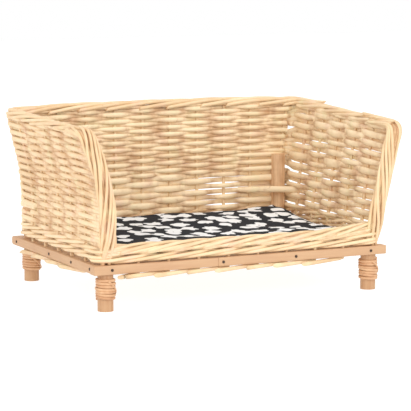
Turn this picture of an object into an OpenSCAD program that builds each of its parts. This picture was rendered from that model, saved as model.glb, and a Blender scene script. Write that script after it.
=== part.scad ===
// Wicker pet bed: a low willow basket with an open front, on a batten frame with four legs, and a loose cushion.
// X runs along the front, Y runs from the front to the back, Z is up, and the origin is on the floor under the
// middle of the basket. All sizes are in millimetres.

/* [Batten frame] */
// Width over the two side battens
frame_w = 456; // [380:1:620]
// Depth over the front and back battens
frame_d = 313; // [270:1:420]
// Height of the underside of the battens above the floor
frame_h = 52; // [40:1:90]
// Width of a batten
batten_w = 17; // [15:0.5:22]
// Thickness of a batten
batten_t = 12.5; // [10:0.5:18]
// How far the front batten runs past each side batten
front_overhang = 2; // [0:1:10]
// How far each side batten runs past the back batten
rear_overhang = 15; // [4:1:25]
// Place of the butt joint in the front batten, from the middle towards the left
front_joint = 42; // [30:1:60]

/* [Walls] */
// Height of the middle of the rim above the floor at the back
back_h = 259; // [210:1:340]
// Height of the middle of the rim above the floor at the front tips
tip_h = 249; // [200:1:330]
// Height of the low front wall above the battens
front_wall_h = 29; // [24:1:60]
// Thickness of a woven wall
wall_t = 14; // [12:0.5:18]
// How far the rim of each side wall stands out from its foot
flare = 24; // [5:1:45]
// How far the front tips of the side walls reach past the front batten
tip_reach = 12; // [6:1:25]
// Gap between the battens and the lowest woven row
peg_gap = 5; // [2:0.5:8]
// Gap under the lowest woven row of the front wall
front_gap = 2; // [0.5:0.5:6]

/* [Willow] */
// Diameter of an upright stake
stake_d = 5; // [3.5:0.5:6]
// Diameter of a border rod
rim_rod_d = 6; // [4:0.5:7]
// Stakes in the back wall and in the front wall
back_stakes = 8; // [6:1:12]
// Stakes in each side wall
side_stakes = 5; // [3:1:8]
// Distance from a back leg to the side stake nearest to it
back_stake_gap = 28; // [6:1:40]
// Distance from a front leg to the side stake nearest to it
front_stake_gap = 31; // [6:1:40]
// Height of the middle rod of a rim above its two neighbours
rim_crown = 5; // [2:0.5:6]
// Gap between the outer rods of a rim and the stakes that end between them
rim_gap = 0.7; // [0.2:0.1:2]
// Clearance between a rod and the hole it passes through
rod_play = 0.05; // [0.02:0.01:0.2]

/* [Legs] */
// Diameter of a leg
leg_d = 22; // [16:1:26]
// Distance from the outer face of the side battens to the middle of a leg
leg_in_x = 20; // [16:1:30]
// Distance from the outer face of the front or back batten to the middle of a leg
leg_in_y = 15; // [13:1:26]
// Height of the back legs above the floor, as corner posts inside the walls
post_h = 172; // [100:1:200]
// Diameter of the cane that binds a leg
cane_d = 3.5; // [2:0.25:5]
// Turns of cane on a leg
cane_turns = 9; // [4:1:11]

/* [Base] */
// Diameter of a base stick
stick_d = 7; // [4:0.5:9]
// Depth of the blind hole that a base stick ends in
stick_socket = 5; // [3:0.5:5.5]
// Thickness of the woven base
base_t = 11; // [10:0.5:14]

/* [Nails] */
// Diameter of a nail
nail_d = 1.8; // [1.2:0.1:2.4]
// Length of a nail
nail_l = 22; // [18:1:26]
// Diameter of a nail head
nail_head_d = 4; // [3:0.5:6]
// Thickness of a nail head
nail_head_t = 0.8; // [0.5:0.1:1.2]
// How far the end nails stand from the middle of their leg
nail_in = 4; // [2:0.5:7]
// Distance from an inner nail of the front or back batten to the stake beside it
nail_gap = 11.5; // [6:0.5:14]
// Distance from an inner nail of a side batten to the stake beside it
nail_side_gap = 17; // [6:0.5:20]

/* [Cushion] */
// Thickness of the cushion
cushion_t = 24; // [14:1:40]
// Gap between the cushion and the walls around it
cushion_gap = 6; // [4:0.5:15]
// Radius of the cushion's corners in plan
cushion_r = 30; // [26:1:60]
// Thickness of the cushion's cover
cover_t = 1.2; // [0.8:0.1:2]
// Gap between the cushion and the back posts and the front rim
post_gap = 2; // [1:0.5:10]
// Gap between the cushion and the woven base
rest_gap = 0.4; // [0.3:0.1:1]

/* [Hidden] */
$fn = 48;
eps = 0.01;
box_d = tip_reach + frame_d + rear_overhang;
front_y = -box_d / 2 + tip_reach;
back_y = front_y + frame_d;
side_x = frame_w / 2;
top_z = frame_h + batten_t;
mid_z = frame_h + batten_t / 2;

// Middle lines of the walls, which stand on the middles of the battens
wall_x = side_x - batten_w / 2;
wall_back_y = back_y - batten_w / 2;
wall_front_y = front_y + batten_w / 2;
inner_back_y = wall_back_y - wall_t / 2;
weave_z = top_z + peg_gap;

// Legs
leg_x = side_x - leg_in_x;
leg_front_y = front_y + leg_in_y;
leg_back_y = back_y - leg_in_y;
binding_h = cane_d * cane_turns;
binding_top = frame_h - stake_d - 1;
binding_r = leg_d / 2 + cane_d;

// Stakes
back_pitch = 2 * leg_x / (back_stakes + 1);
stake_xs = [for (i = [1:back_stakes]) -leg_x + i * back_pitch];
side_first_y = leg_back_y - leg_d / 2 - back_stake_gap;
side_last_y = leg_front_y + leg_d / 2 + front_stake_gap;
side_pitch = (side_first_y - side_last_y) / (side_stakes - 1);
stake_ys = [for (i = [0:side_stakes - 1]) side_last_y + i * side_pitch];
tail_reach = 1.45;
tail_swing = 10;
tail_thin = 0.92;
stake_short = 1.5;

// Base sticks lie half a pitch from the stakes
stick_xs = [for (i = [0:back_stakes]) -leg_x + (i + 0.5) * back_pitch];

// Nails go through the battens into the legs and the woven base. The end nails of the side battens pass behind
// those of the front batten, and run into the end of the back batten
nail_low = nail_in + nail_d + 1.2;
nail_high = leg_d / 2 - nail_d + 0.3;
nail_mid = floor(back_stakes / 2);
nail_side_mid = floor(side_stakes / 2);
nail_xs = [-leg_x + nail_in, stake_xs[nail_mid - 1] - nail_gap, stake_xs[nail_mid + 1] + nail_gap, leg_x - nail_in];
nail_ys = [leg_front_y + nail_low, stake_ys[nail_side_mid - 1] - nail_side_gap,
           stake_ys[nail_side_mid] + nail_side_gap, leg_back_y + nail_high];

// Rim: an inner rod, an outer rod and one that lies over them
rim_side = rim_rod_d / 2 + stake_d / 2 + rim_gap;
rim_drop = rim_crown * 0.6;
rim_rise = rim_crown - rim_drop;
rim_under = rim_drop + rim_rod_d / 2;
front_rim_z = top_z + front_wall_h - rim_rod_d / 2 - rim_rise;
edge_x = 5;
edge_in = 7;
edge_foot = 2;
edge_gap = 0.2;
wall_gap = 0.5;
corner_gap = 0.3;
edge_step = rim_rod_d + edge_gap;
edge_front_y = front_y + edge_in;
edge_tip_y = -box_d / 2 + rim_rod_d;
front_wall_x = wall_x - edge_x - edge_step - rim_rod_d / 2 - wall_gap;

// Cushion
cushion_x = wall_x - wall_t / 2 - cushion_gap;
cushion_y0 = wall_front_y + rim_side + rim_rod_d / 2 + post_gap;
cushion_y1 = leg_back_y - leg_d / 2 - post_gap;
cushion_z = mid_z + base_t / 2 + rest_gap;

// Height of the rim's middle over a place along a side wall
function rim_z(y) = tip_h + (back_h - tip_h) * (y - edge_tip_y) / (wall_back_y - edge_tip_y);

// Middle line of a side wall at a height: it leans out from the middle of its batten
function side_wall_x(z) = wall_x + flare * (z - mid_z) / (back_h - mid_z);

// A straight round rod between two points
module rod(from, to, d) {
    step = to - from;
    translate(from)
        rotate([0, acos(step[2] / norm(step)), atan2(step[1], step[0])])
            cylinder(h = norm(step), d = d);
}

module mirrored(side) {
    if (side < 0) mirror([1, 0, 0]) children();
    else children();
}

// Battens

module front_batten(x0, x1) {
    translate([x0, front_y, frame_h]) cube([x1 - x0, batten_w, batten_t]);
}

module back_batten() {
    translate([-side_x + batten_w, back_y - batten_w, frame_h])
        cube([frame_w - 2 * batten_w, batten_w, batten_t]);
}

module side_batten() {
    translate([side_x - batten_w, front_y + batten_w, frame_h])
        cube([batten_w, frame_d - batten_w + rear_overhang, batten_t]);
}

// The front batten is two pieces that meet in a butt joint
module batten_front(x0, x1) {
    color("burlywood") difference() {
        front_batten(x0, x1);
        stake_channels(front_stakes);
        base_stick_lines(stick_d + 2 * rod_play, stick_socket);
        front_nails(true);
    }
}

module batten_back() {
    color("burlywood") difference() {
        back_batten();
        stake_channels(back_wall_stakes);
        base_stick_lines(stick_d + 2 * rod_play, stick_socket);
        back_nails(true);
        for (side = [-1, 1]) mirrored(side) side_nails(true);
    }
}

module batten_side(side) {
    color("burlywood") mirrored(side) difference() {
        side_batten();
        stake_channels(side_wall_stakes);
        side_nails(true);
    }
}

// Nails: the holes are the nails themselves, without their heads

module nail(hole) {
    cylinder(h = nail_l, d = nail_d);
    if (!hole) translate([0, 0, -nail_head_t]) cylinder(h = nail_head_t, d = nail_head_d);
}

module front_nails(hole) {
    for (x = nail_xs)
        translate([x, front_y, mid_z]) rotate([-90, 0, 0]) nail(hole);
}

module back_nails(hole) {
    for (x = nail_xs)
        translate([-x, back_y, mid_z]) rotate([90, 0, 0]) nail(hole);
}

module side_nails(hole) {
    for (y = nail_ys)
        translate([side_x, y, mid_z]) rotate([0, -90, 0]) nail(hole);
}

module batten_nails_front() { color("dimgray") front_nails(false); }
module batten_nails_back() { color("dimgray") back_nails(false); }
module batten_nails_side(side) { color("dimgray") mirrored(side) side_nails(false); }

// Legs: peeled poles, notched at the corners for the battens

module leg_pole(y, h) {
    translate([leg_x, y, 0]) cylinder(h = h, d = leg_d);
}

module leg(side, y, h) {
    color("peru") difference() {
        mirrored(side) leg_pole(y, h);
        front_batten(-side_x - front_overhang, side_x + front_overhang);
        back_batten();
        for (s = [-1, 1]) mirrored(s) side_batten();
        front_nails(true);
        back_nails(true);
        for (s = [-1, 1]) mirrored(s) side_nails(true);
    }
}

// Cane binding: one turn of cane over the next

module binding(side, y) {
    color("sandybrown") mirrored(side) translate([leg_x, y, binding_top - binding_h])
        rotate_extrude() difference() {
            union() {
                translate([leg_d / 2, 0]) square([cane_d / 2, binding_h]);
                for (i = [0:cane_turns - 1])
                    translate([leg_d / 2 + cane_d / 2, (i + 0.5) * cane_d]) circle(d = cane_d);
            }
            square([leg_d / 2, binding_h]);
        }
}

// Base

module base_stick_lines(d, socket) {
    for (x = stick_xs)
        translate([x, front_y + batten_w - socket, mid_z]) rotate([-90, 0, 0])
            cylinder(h = frame_d - 2 * batten_w + 2 * socket, d = d);
}

module base_sticks() { color("wheat") base_stick_lines(stick_d, stick_socket); }

module base_weave() {
    color("navajowhite") difference() {
        translate([-side_x + batten_w, front_y + batten_w, mid_z - base_t / 2])
            cube([frame_w - 2 * batten_w, frame_d - 2 * batten_w, base_t]);
        base_stick_lines(stick_d + 2 * rod_play, stick_socket);
        for (s = [-1, 1]) mirrored(s)
            for (y = [leg_front_y, leg_back_y])
                translate([leg_x, y, 0]) cylinder(h = post_h, d = leg_d + 2 * rod_play);
        front_nails(true);
        back_nails(true);
        for (side = [-1, 1]) mirrored(side) side_nails(true);
    }
}

// Stakes: each passes through its batten, turns under it, and its tail runs along past the next one

// Length of a tail that would run to a full reach, cut short where a leg binding stands in its way
function tail_len(room, pitch) = min(tail_reach * pitch, room - binding_r - stake_d);

// Where a tail ends, from the turn of its stake, along the wall and swinging outward
function tail_end(turn, along, outward, length, pitch) =
    turn + along * length + outward * tail_swing * length / (tail_reach * pitch);

// Each stake as its lower end, under the batten, and its top
low_z = frame_h - stake_d;
front_stakes = [for (x = stake_xs) [[x, wall_front_y, low_z], [x, wall_front_y, front_rim_z - stake_short]]];
back_wall_stakes = [for (x = stake_xs) [[x, wall_back_y, low_z], [x, wall_back_y, back_h - stake_short]]];
side_wall_stakes = [for (y = stake_ys)
    let (top = rim_z(y) - stake_short) [[side_wall_x(low_z), y, low_z], [side_wall_x(top), y, top]]];

// The channels that upright stakes leave in what they pass through
module stake_channels(stakes) {
    for (ends = stakes) rod(ends[0], ends[1], stake_d + 2 * rod_play);
}

// A whole stake: its upright, and its tail, which leaves it sideways just under the batten
module stake(ends, along, outward, length, pitch) {
    turn = ends[0] + (ends[1] - ends[0]) * (stake_d / 2) / (ends[1][2] - ends[0][2]);
    rod(ends[0], ends[1], stake_d);
    rod(turn, tail_end(turn, along, outward, length, pitch), stake_d * tail_thin);
}

module stakes_front() {
    color("khaki") for (ends = front_stakes)
        stake(ends, [-1, 0, 0], [0, -1, 0], tail_len(ends[0][0] + leg_x, back_pitch), back_pitch);
}

module stakes_back() {
    color("khaki") for (ends = back_wall_stakes)
        stake(ends, [1, 0, 0], [0, 1, 0], tail_len(leg_x - ends[0][0], back_pitch), back_pitch);
}

module stakes_side(side) {
    color("khaki") mirrored(side) for (ends = side_wall_stakes)
        stake(ends, [0, 1, 0], [1, 0, 0], tail_len(leg_back_y - ends[0][1], side_pitch), side_pitch);
}

// Woven walls

// The side wall's section
module side_section() {
    z_top = back_h - rim_under;
    polygon([
        [side_wall_x(weave_z) - wall_t / 2, weave_z],
        [side_wall_x(weave_z) + wall_t / 2, weave_z],
        [side_wall_x(z_top) + wall_t / 2, z_top],
        [side_wall_x(z_top) - wall_t / 2, z_top]
    ]);
}

// The side wall seen from the side: its front edge leans out to the tip, its top falls from back to front
module side_outline() {
    low = front_rim_z + rim_rise + rim_rod_d / 2;
    high = rim_z(edge_tip_y) - rim_under;
    edge_clear = rim_rod_d / 2 + 2 * edge_gap;
    polygon([
        [wall_front_y + wall_t / 2 + wall_gap, weave_z],
        [inner_back_y, weave_z],
        [inner_back_y, rim_z(inner_back_y) - rim_under],
        [edge_y(high) + edge_clear, high],
        [edge_y(low) + edge_clear, low],
        [wall_front_y + wall_t / 2 + wall_gap, low]
    ]);
}

module posts(d) {
    for (s = [-1, 1]) mirrored(s)
        translate([leg_x, leg_back_y, top_z - eps]) cylinder(h = post_h - top_z + eps, d = d);
}

module weave_side(side) {
    color("moccasin") difference() {
        mirrored(side) intersection() {
            translate([0, box_d / 2, 0]) rotate([90, 0, 0]) linear_extrude(box_d) side_section();
            rotate([90, 0, 90]) linear_extrude(frame_w) side_outline();
        }
        mirrored(side) stake_channels(side_wall_stakes);
        posts(leg_d + 2 * rod_play);
    }
}

// The back wall's outline follows the flare of the side walls
module back_outline() {
    z_top = back_h - rim_under;
    foot = side_wall_x(weave_z) + wall_t / 2;
    head = side_wall_x(z_top) + wall_t / 2;
    polygon([[-foot, weave_z], [foot, weave_z], [head, z_top], [-head, z_top]]);
}

module weave_back() {
    color("moccasin") difference() {
        translate([0, wall_back_y + wall_t / 2, 0]) rotate([90, 0, 0]) linear_extrude(wall_t) back_outline();
        stake_channels(back_wall_stakes);
        posts(leg_d + 2 * rod_play);
    }
}

module weave_front() {
    low = top_z + front_gap;
    color("moccasin") difference() {
        translate([-front_wall_x, wall_front_y - wall_t / 2, low])
            cube([2 * front_wall_x, wall_t, front_rim_z - rim_under - low]);
        stake_channels(front_stakes);
    }
}

// Borders

// Middle of the edge border, which leans out to the tip
function edge_y(z) = edge_front_y + (edge_tip_y - edge_front_y) * (z - top_z) / (tip_h - top_z);
function edge_line_x(z) = side_wall_x(z) - edge_x * (tip_h - z) / (tip_h - top_z);
function edge_point(z, k) = [edge_line_x(z) + k * edge_step, edge_y(z), z];

module edge_border(side) {
    z_end = tip_h - rim_under - edge_gap;
    color("moccasin") mirrored(side) difference() {
        for (k = [-1:1])
            rod(edge_point(top_z - edge_foot, k), edge_point(z_end, k), rim_rod_d);
        translate([0, front_y - batten_w, frame_h]) cube([side_x + batten_w, 3 * batten_w, batten_t]);
    }
}

module rim_front() {
    color("moccasin") for (k = [-1:1])
        translate([-front_wall_x, wall_front_y + k * rim_side, front_rim_z + (k == 0 ? rim_rise : -rim_drop)])
            rotate([0, 90, 0]) cylinder(h = 2 * front_wall_x, d = rim_rod_d);
}

module rim_back() {
    reach = wall_x + flare + rim_side + rim_rod_d / 2;
    color("moccasin") for (k = [-1:1])
        translate([-reach, wall_back_y + k * rim_side, back_h + (k == 0 ? rim_rise : -rim_drop)])
            rotate([0, 90, 0]) cylinder(h = 2 * reach, d = rim_rod_d);
}

function rim_point(y, k) = [side_wall_x(rim_z(y)) + k * rim_side, y, rim_z(y) + (k == 0 ? rim_rise : -rim_drop)];

module rim_side_rods(side) {
    y_end = wall_back_y - rim_side - rim_rod_d / 2 - corner_gap;
    color("moccasin") mirrored(side) for (k = [-1:1])
        rod(rim_point(-box_d / 2, k), rim_point(y_end, k), rim_rod_d);
}

// Cushion: a flat pad whose faces are crowned and whose corners are round

function arc(cx, cy, r, from, to, n) = [for (i = [0:n]) [cx + r * cos(from + (to - from) * i / n),
                                                         cy + r * sin(from + (to - from) * i / n)]];

module round_plan(x0, x1, y0, y1, r) {
    polygon(concat(arc(x1 - r, y1 - r, r, 0, 90, 6), arc(x0 + r, y1 - r, r, 90, 180, 6),
                   arc(x0 + r, y0 + r, r, 180, 270, 6), arc(x1 - r, y0 + r, r, 270, 360, 6)));
}

// A section that is full in the middle and thins towards its two ends: each corner is [in from the end, up],
// in thicknesses of the pad
pad_corners = [[2, 1], [0.5, 0.88], [0, 0.6], [0, 0.25], [0.3, 0]];
module pad_section(half, t) {
    n = len(pad_corners);
    polygon(concat([for (c = pad_corners) [half - c[0] * t, c[1] * t]],
                   [for (i = [n - 1:-1:0]) [pad_corners[i][0] * t - half, pad_corners[i][1] * t]]));
}

module pad(inset) {
    t = cushion_t - 2 * inset;
    half_x = cushion_x - inset;
    mid_y = (cushion_y0 + cushion_y1) / 2;
    half_y = (cushion_y1 - cushion_y0) / 2 - inset;
    translate([0, mid_y, cushion_z + inset]) intersection() {
        linear_extrude(t) round_plan(-half_x, half_x, -half_y, half_y, cushion_r - inset);
        translate([0, half_y + 1, 0]) rotate([90, 0, 0]) linear_extrude(2 * half_y + 2) pad_section(half_x, t);
        translate([-half_x - 1, 0, 0]) rotate([90, 0, 90]) linear_extrude(2 * half_x + 2) pad_section(half_y, t);
    }
}

module cushion_cover() {
    color("dimgray") difference() {
        pad(0);
        pad(cover_t);
    }
}

module cushion_filling() { color("white") pad(cover_t); }

batten_front(-side_x - front_overhang, -front_joint);  // batten_front_left
batten_front(-front_joint, side_x + front_overhang);  // batten_front_right
batten_back();
batten_side(-1);  // batten_left
batten_side(1);  // batten_right
batten_nails_front();
batten_nails_back();
batten_nails_side(-1);  // batten_nails_left
batten_nails_side(1);  // batten_nails_right
leg(-1, leg_front_y, top_z);  // leg_front_left
leg(1, leg_front_y, top_z);  // leg_front_right
leg(-1, leg_back_y, post_h);  // leg_back_left
leg(1, leg_back_y, post_h);  // leg_back_right
binding(-1, leg_front_y);  // binding_front_left
binding(1, leg_front_y);  // binding_front_right
binding(-1, leg_back_y);  // binding_back_left
binding(1, leg_back_y);  // binding_back_right
base_sticks();
base_weave();
stakes_front();
stakes_back();
stakes_side(-1);  // stakes_left
stakes_side(1);  // stakes_right
weave_front();
weave_back();
weave_side(-1);  // weave_left
weave_side(1);  // weave_right
edge_border(-1);  // edge_border_left
edge_border(1);  // edge_border_right
rim_front();
rim_back();
rim_side_rods(-1);  // rim_left
rim_side_rods(1);  // rim_right
cushion_cover();
cushion_filling();
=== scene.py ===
import math
import random

import bmesh
import bpy
import numpy as np
from bpy.props import FloatProperty, FloatVectorProperty, IntProperty, PointerProperty
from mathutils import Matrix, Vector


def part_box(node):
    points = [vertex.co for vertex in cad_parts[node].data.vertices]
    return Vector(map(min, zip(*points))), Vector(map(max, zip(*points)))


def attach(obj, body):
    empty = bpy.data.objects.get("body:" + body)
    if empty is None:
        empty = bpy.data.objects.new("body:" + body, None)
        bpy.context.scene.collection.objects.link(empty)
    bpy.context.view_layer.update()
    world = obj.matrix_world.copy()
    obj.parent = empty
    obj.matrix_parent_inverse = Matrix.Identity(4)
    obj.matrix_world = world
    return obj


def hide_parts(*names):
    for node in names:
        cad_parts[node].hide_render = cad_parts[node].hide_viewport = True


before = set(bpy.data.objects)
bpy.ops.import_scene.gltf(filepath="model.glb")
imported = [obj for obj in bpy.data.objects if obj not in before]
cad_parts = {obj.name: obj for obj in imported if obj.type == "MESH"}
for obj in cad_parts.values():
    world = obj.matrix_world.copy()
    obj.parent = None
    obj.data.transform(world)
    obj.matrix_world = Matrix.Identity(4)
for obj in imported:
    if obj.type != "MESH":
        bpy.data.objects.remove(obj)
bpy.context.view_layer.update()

bl_info = {
    "name": "Wicker pet bed",
    "version": (1, 0, 0),
    "blender": (4, 5, 0),
    "location": "View3D > Sidebar > Pet bed",
    "description": "Builds the woven willow, battens, legs and cushion of a wicker pet bed",
    "category": "Object",
}

MM = 0.001


def length(name, description, default):
    return FloatProperty(name=name, description=description, default=default, unit="LENGTH", min=0.0)


def tint(name, description, default):
    return FloatVectorProperty(name=name, description=description, default=default, subtype="COLOR", size=3,
                               min=0.0, max=1.0)


class WillowSettings(bpy.types.PropertyGroup):
    """Sizes and colours of the willow"""

    row_rod: length("Row rod", "Diameter of a rod in the woven rows", 5.4 * MM)
    wale_rod: length("Wale rod", "Diameter of a rod in the wales round the foot", 5.0 * MM)
    rim_rod: length("Rim rod", "Diameter of a rod in the rims and borders", 5.0 * MM)
    stake: length("Stake", "Diameter of an upright stake", 5.0 * MM)
    swing: length("Swing", "How far a row swings to each side of its stakes", 4.0 * MM)
    rows_left: IntProperty(name="Rows left", description="Rows in the left wall", default=30, min=8)
    rows_back: IntProperty(name="Rows back", description="Rows in the back wall", default=26, min=8)
    rows_right: IntProperty(name="Rows right", description="Rows in the right wall", default=21, min=8)
    pale: tint("Pale", "Colour of the palest rods", (0.91, 0.72, 0.47))
    honey: tint("Honey", "Colour of the darker rods", (0.70, 0.46, 0.24))
    rosy: tint("Rosy", "Colour of the pinkish patches", (0.83, 0.57, 0.40))
    green: tint("Green", "Colour of the greenish patches", (0.78, 0.70, 0.42))
    # Painted shade: this colour darkens rods in patches where they dive behind stakes; it also colours small
    # random flecks
    shade_and_fleck: tint("Shade and fleck", "Colour where a rod dives behind a stake", (0.48, 0.24, 0.10))


class WoodSettings(bpy.types.PropertyGroup):
    """Colours of the battens, legs and cane"""

    batten: tint("Batten", "Colour of the battens", (0.60, 0.375, 0.205))
    batten_dark: tint("Batten grain", "Colour of the grain in the battens", (0.50, 0.27, 0.15))
    pole: tint("Pole", "Colour of the peeled legs", (0.55, 0.33, 0.175))
    post: tint("Post", "Colour of the rear legs above the battens", (0.84, 0.57, 0.33))
    pole_dark: tint("Pole grain", "Colour of the grain in the legs", (0.38, 0.16, 0.06))
    cane: tint("Cane", "Colour of the cane that binds the legs", (0.70, 0.43, 0.235))
    cane_dark: tint("Cane shade", "Colour of the darker cane", (0.42, 0.16, 0.06))
    edge: length("Batten edge", "Radius of the worn edges of the battens", 1.1 * MM)


class CushionSettings(bpy.types.PropertyGroup):
    """Size and print of the cushion"""

    inset: length("Inset", "How much smaller than its space the cushion is cut", 5.0 * MM)
    cell: length("Shape spacing", "Distance between the printed shapes", 31.0 * MM)
    black: tint("Black", "Ground colour of the print", (0.018, 0.019, 0.022))
    white: tint("White", "Colour of the printed shapes", (0.90, 0.90, 0.89))


class StageSettings(bpy.types.PropertyGroup):
    """Floor, light and camera"""

    floor: tint("Floor", "Colour of the floor", (0.30, 0.30, 0.30))
    sky: FloatProperty(name="Room light", description="Strength of the even light of the room", default=1.0,
                       min=0.0)
    glow: FloatProperty(name="Floor glow", description="Light of the floor itself", default=0.86, min=0.0)
    key: FloatProperty(name="Key light", description="Power of the large soft light", default=30.0, min=0.0,
                       unit="POWER")
    lens: FloatProperty(name="Lens", description="Focal length in millimetres", default=177.4, min=1.0)


# Shader maths


class Value:
    """A shader socket that takes part in sums"""

    def __init__(self, recipe, socket):
        self.recipe = recipe
        self.socket = socket

    def __add__(self, other):
        return self.recipe.sum("ADD", self, other)

    __radd__ = __add__

    def __mul__(self, other):
        return self.recipe.sum("MULTIPLY", self, other)

    __rmul__ = __mul__

    def __sub__(self, other):
        return self.recipe.sum("SUBTRACT", self, other)

    def __rsub__(self, other):
        return self.recipe.sum("SUBTRACT", other, self)


class Recipe:
    """One material and its nodes, added by type with their settings and the values of their sockets"""

    def __init__(self, name):
        self.material = bpy.data.materials.new(name)
        self.material.use_nodes = True
        self.tree = self.material.node_tree
        self.surface = self.tree.nodes["Principled BSDF"]

    def node(self, kind, settings=None, inputs=None, out=0):
        made = self.tree.nodes.new(kind)
        for key, value in (settings or {}).items():
            setattr(made, key, value)
        for key, value in (inputs or {}).items():
            self.plug(made.inputs[key], value)
        return Value(self, made.outputs[out])

    def plug(self, socket, value):
        if isinstance(value, Value):
            self.tree.links.new(value.socket, socket)
        else:
            socket.default_value = value

    def sum(self, operation, first, second):
        return self.node("ShaderNodeMath", {"operation": operation}, {0: first, 1: second})

    def clamp(self, value, low=0.0, high=1.0):
        return self.node("ShaderNodeMapRange", {"clamp": True},
                         {"Value": value, "From Min": low, "From Max": high, "To Min": 0.0, "To Max": 1.0})

    def soft_step(self, value, low, high):
        return self.node("ShaderNodeMapRange", {"interpolation_type": "SMOOTHSTEP"},
                         {"Value": value, "From Min": low, "From Max": high, "To Min": 0.0, "To Max": 1.0})

    def blend(self, factor, first, second):
        colours = {0: factor, 6: rgba(first), 7: rgba(second)}
        return self.node("ShaderNodeMix", {"data_type": "RGBA"}, colours, 2)

    def noise(self, place, scale, detail=2.0, rough=0.5):
        return self.node("ShaderNodeTexNoise", {},
                         {"Vector": place, "Scale": scale, "Detail": detail, "Roughness": rough})

    def attribute(self, name):
        return self.node("ShaderNodeAttribute", {"attribute_name": name}, {}, 2)

    def place(self):
        """Where a point of the piece lies, in metres"""
        return self.node("ShaderNodeTexCoord", {}, {}, 3)

    def stretched(self, place, scale):
        return self.node("ShaderNodeMapping", {}, {"Vector": place, "Scale": scale})

    def along(self, scale):
        """The rod's own surface, with its girth on U and its length on V"""
        flat = self.node("ShaderNodeUVMap", {"uv_map": "girth"})
        return self.stretched(flat, scale)

    def bump(self, height, strength, distance):
        return self.node("ShaderNodeBump", {}, {"Strength": strength, "Distance": distance, "Height": height})

    def finish(self, colour, rough, bump=None):
        self.plug(self.surface.inputs["Base Color"], colour)
        self.plug(self.surface.inputs["Roughness"], rough)
        if bump is not None:
            self.plug(self.surface.inputs["Normal"], bump)
        return self.material


def rgba(colour):
    if isinstance(colour, Value):
        return colour
    return (*colour[:3], 1.0)


# How fine the patterns are, in turns per metre; a streak or a grain has one number for each axis
WILLOW_PATCH = 26.0
WILLOW_HUE = 41.0
WILLOW_SPOT = 95.0
WILLOW_STREAK = (520.0, 34.0, 1.0)
CANE_PATCH = 120.0
CANE_STREAK = (700.0, 30.0, 1.0)
RUST_SPOT = 900.0
BATTEN_PATCH = 22.0
GRAIN_ALONG_X = (14.0, 330.0, 330.0)
GRAIN_ALONG_Y = (330.0, 14.0, 330.0)
POLE_PATCH = 60.0
POLE_GRAIN = (260.0, 260.0, 16.0)
PRINT_WOBBLE = 38.0
COTTON_THREAD = 260.0
COTTON_CLOUD = 60.0

# The rear legs change colour between these heights
POST_FADE = (55.0 * MM, 85.0 * MM)


def willow_material():
    """Peeled willow: each rod has its own tone, painted shade in patches where it dives behind a stake, and
    small random flecks
    """
    look = bpy.context.scene.pet_bed_willow
    recipe = Recipe("woven_willow")
    tone = recipe.attribute("tone")
    dive_shade = recipe.attribute("dive_shade")
    patch = recipe.noise(recipe.place(), WILLOW_PATCH, 3.0, 0.6)
    streak = recipe.noise(recipe.along(WILLOW_STREAK), 1.0, 3.0, 0.6)
    spot = recipe.noise(recipe.place(), WILLOW_SPOT, 2.0, 0.5)
    depth = recipe.clamp(tone * 0.75 + (patch - 0.5) * 0.65 + (streak - 0.5) * 0.55)
    colour = recipe.blend(depth, look.pale, look.honey)
    hue = recipe.noise(recipe.place(), WILLOW_HUE, 1.0, 0.4)
    colour = recipe.blend(recipe.soft_step(hue, 0.56, 0.74) * 0.5, colour, look.rosy)
    colour = recipe.blend(recipe.soft_step(hue, 0.44, 0.28) * 0.4, colour, look.green)
    # Painted shade: darkens each rod in noisy patches, scaled by its dive shade value, which is highest where
    # it dives behind a stake
    painted_shade_mask = recipe.clamp(dive_shade * recipe.soft_step(patch + spot * 0.6, 0.62, 0.98) * 0.8)
    colour = recipe.blend(painted_shade_mask, colour, look.shade_and_fleck)
    fleck = recipe.soft_step(spot, 0.70, 0.80) * 0.45
    colour = recipe.blend(fleck, colour, look.shade_and_fleck)
    rough = 0.42 + streak * 0.22
    return recipe.finish(colour, rough, recipe.bump(streak, 0.35, 0.0006))


def grained_wood(name, light, dark, grain, patchy, contrast, rough, above=None):
    """Wood whose grain runs along one axis; above is its colour over the battens"""
    recipe = Recipe(name)
    if above is not None:
        height = recipe.node("ShaderNodeSeparateXYZ", {}, {"Vector": recipe.place()}, 2)
        light = recipe.blend(recipe.soft_step(height, *POST_FADE), light, above)
    fibre = recipe.noise(recipe.stretched(recipe.place(), grain), 1.0, 5.0, 0.62)
    patch = recipe.noise(recipe.place(), patchy, 2.0, 0.5)
    depth = recipe.clamp((fibre - 0.5) * contrast + (patch - 0.5) * 0.7 + 0.32)
    colour = recipe.blend(depth, light, dark)
    return recipe.finish(colour, rough + fibre * 0.2, recipe.bump(fibre, 0.3, 0.0006))


def cane_material():
    """Split cane, in windings of different tones"""
    look = bpy.context.scene.pet_bed_wood
    recipe = Recipe("split_cane")
    tone = recipe.attribute("tone")
    streak = recipe.noise(recipe.along(CANE_STREAK), 1.0, 3.0, 0.6)
    patch = recipe.noise(recipe.place(), CANE_PATCH, 2.0, 0.5)
    depth = recipe.clamp(tone * 0.5 + (streak - 0.5) * 0.9 + (patch - 0.5) * 0.9 + 0.1)
    colour = recipe.blend(depth, look.cane, look.cane_dark)
    return recipe.finish(colour, 0.38 + streak * 0.2, recipe.bump(streak, 0.4, 0.0005))


def nail_material():
    recipe = Recipe("dark_nail")
    rust = recipe.noise(recipe.place(), RUST_SPOT, 2.0, 0.5)
    colour = recipe.blend(rust, (0.035, 0.03, 0.028), (0.12, 0.07, 0.045))
    recipe.surface.inputs["Metallic"].default_value = 0.7
    return recipe.finish(colour, 0.4 + rust * 0.3)


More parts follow.
